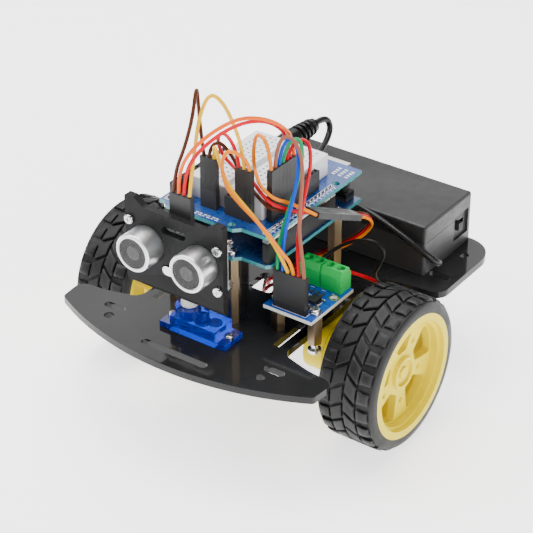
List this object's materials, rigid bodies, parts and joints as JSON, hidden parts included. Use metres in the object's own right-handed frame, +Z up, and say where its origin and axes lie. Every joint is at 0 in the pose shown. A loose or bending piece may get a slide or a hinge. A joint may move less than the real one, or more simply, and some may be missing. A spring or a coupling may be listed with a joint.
{
  "type": "two wheel robot car",
  "caption": "Two wheel differential drive robot car: acrylic plate, geared motors, rear caster, battery box, stacked controller boards and a panning ultrasonic sensor head.",
  "frame": {"origin": "on the floor under the middle of the chassis plate's length and width", "axes": "+Z up, -Y is the driving direction (sensor head), +X is the car's left side"},
  "size_m": [0.1494, 0.152, 0.1505],
  "materials": {
    "black_acrylic": "polished cast acrylic sheet",
    "yellow_plastic": "moulded yellow plastic",
    "motor_steel": "zinc plated motor can",
    "clear_plastic": "milky clear strap",
    "steel": "plated screw steel",
    "white_nylon": "moulded white nylon",
    "tyre": "black moulded rubber",
    "zinc": "zinc plated pressing",
    "caster_rubber": "hard black rubber",
    "brass": "dull turned brass",
    "black_abs": "satin moulded plastic",
    "cell_wrap": "shrink wrapped cell",
    "nickel": "nickel plated contact metal",
    "blue_board": "blue solder resist with white print",
    "header_black": "moulded header plastic",
    "chip_black": "moulded chip body",
    "white_abs": "white moulded plastic",
    "green_plastic": "green moulded plastic",
    "blue_clear_plastic": "translucent blue plastic",
    "can_aluminium": "bright drawn aluminium",
    "grille_steel": "dark woven mesh",
    "lead_black": "black flexible PVC",
    "wire_colours": "coloured PVC insulation"
  },
  "bodies": {
    "chassis": {"chassis_plate": "black_acrylic", "left_gearbox": "yellow_plastic", "right_gearbox": "yellow_plastic", "left_motor": "motor_steel", "right_motor": "motor_steel", "motor_straps": "clear_plastic", "motor_brackets": "black_acrylic", "motor_bolts": "steel", "caster_plate": "zinc", "caster_columns": "brass", "board_columns": "brass", "machine_screws": "steel", "battery_box": "black_abs", "battery_lid": "black_abs", "battery_cells": "cell_wrap", "battery_contacts": "nickel", "switch_body": "black_abs", "controller_board": "blue_board", "controller_sockets": "header_black", "controller_chips": "chip_black", "usb_socket": "nickel", "power_jack": "header_black", "reset_switch": "nickel", "shield_board": "blue_board", "shield_pins": "nickel", "shield_sockets": "header_black", "breadboard": "white_abs", "driver_board": "blue_board", "driver_parts": "chip_black", "driver_terminals": "green_plastic", "terminal_screws": "steel", "servo_case": "blue_clear_plastic", "servo_screws": "steel", "jumper_plugs": "header_black", "power_plug": "lead_black", "sensor_wires": "wire_colours", "board_wires": "wire_colours", "motor_wires": "wire_colours", "battery_lead": "lead_black"},
    "left_wheel": {"left_axle": "white_nylon", "left_rim": "yellow_plastic", "left_tyre": "tyre"},
    "right_wheel": {"right_axle": "white_nylon", "right_rim": "yellow_plastic", "right_tyre": "tyre"},
    "left_idler": {"left_idler_gear": "white_nylon"},
    "right_idler": {"right_idler_gear": "white_nylon"},
    "caster_swivel": {"caster_fork": "zinc", "caster_axle": "zinc"},
    "caster_roller": {"caster_wheel": "caster_rubber"},
    "switch_slider": {"switch_knob": "black_abs"},
    "reset_button": {"reset_cap": "header_black"},
    "sensor_head": {"servo_horn": "white_nylon", "sensor_bracket": "black_acrylic", "sensor_board": "blue_board", "sensor_cans": "can_aluminium", "sensor_grilles": "grille_steel", "sensor_header": "nickel", "sensor_screws": "steel", "sensor_plug": "header_black"}
  },
  "joints": [
    {"name": "left_wheel_spin", "type": "hinge", "parent": "chassis", "child": "left_wheel", "pos_m": [0.0383, -0.008, 0.0325], "axis": [1, 0, 0], "continuous": true},
    {"name": "right_wheel_spin", "type": "hinge", "parent": "chassis", "child": "right_wheel", "pos_m": [-0.0383, -0.008, 0.0325], "axis": [1, 0, 0], "continuous": true},
    {"name": "left_idler_spin", "type": "hinge", "parent": "chassis", "child": "left_idler", "pos_m": [0.0383, 0.00272, 0.0325], "axis": [1, 0, 0], "continuous": true},
    {"name": "right_idler_spin", "type": "hinge", "parent": "chassis", "child": "right_idler", "pos_m": [-0.0383, 0.00272, 0.0325], "axis": [1, 0, 0], "continuous": true},
    {"name": "caster_turn", "type": "hinge", "parent": "chassis", "child": "caster_swivel", "pos_m": [0, 0.053, 0.03], "axis": [0, 0, 1], "continuous": true},
    {"name": "caster_roll", "type": "hinge", "parent": "caster_swivel", "child": "caster_roller", "pos_m": [0, 0.062, 0.0125], "axis": [1, 0, 0], "continuous": true},
    {"name": "sensor_pan", "type": "hinge", "parent": "chassis", "child": "sensor_head", "pos_m": [-0.00535, -0.049, 0.066], "axis": [0, 0, 1], "range_deg": [-28, 28], "deforming": ["sensor_wires"]},
    {"name": "power_switch", "type": "slide", "parent": "chassis", "child": "switch_slider", "axis": [0, 1, 0], "range_m": [0, 0.003]},
    {"name": "reset_press", "type": "slide", "parent": "chassis", "child": "reset_button", "axis": [0, 0, -1], "range_m": [0, 0.0003], "stiffness_N_per_m": 2000}
  ],
  "couplings": [
    {"joint": "left_idler_spin", "follows": "left_wheel_spin", "ratio": -2},
    {"joint": "right_idler_spin", "follows": "right_wheel_spin", "ratio": -2}
  ]
}
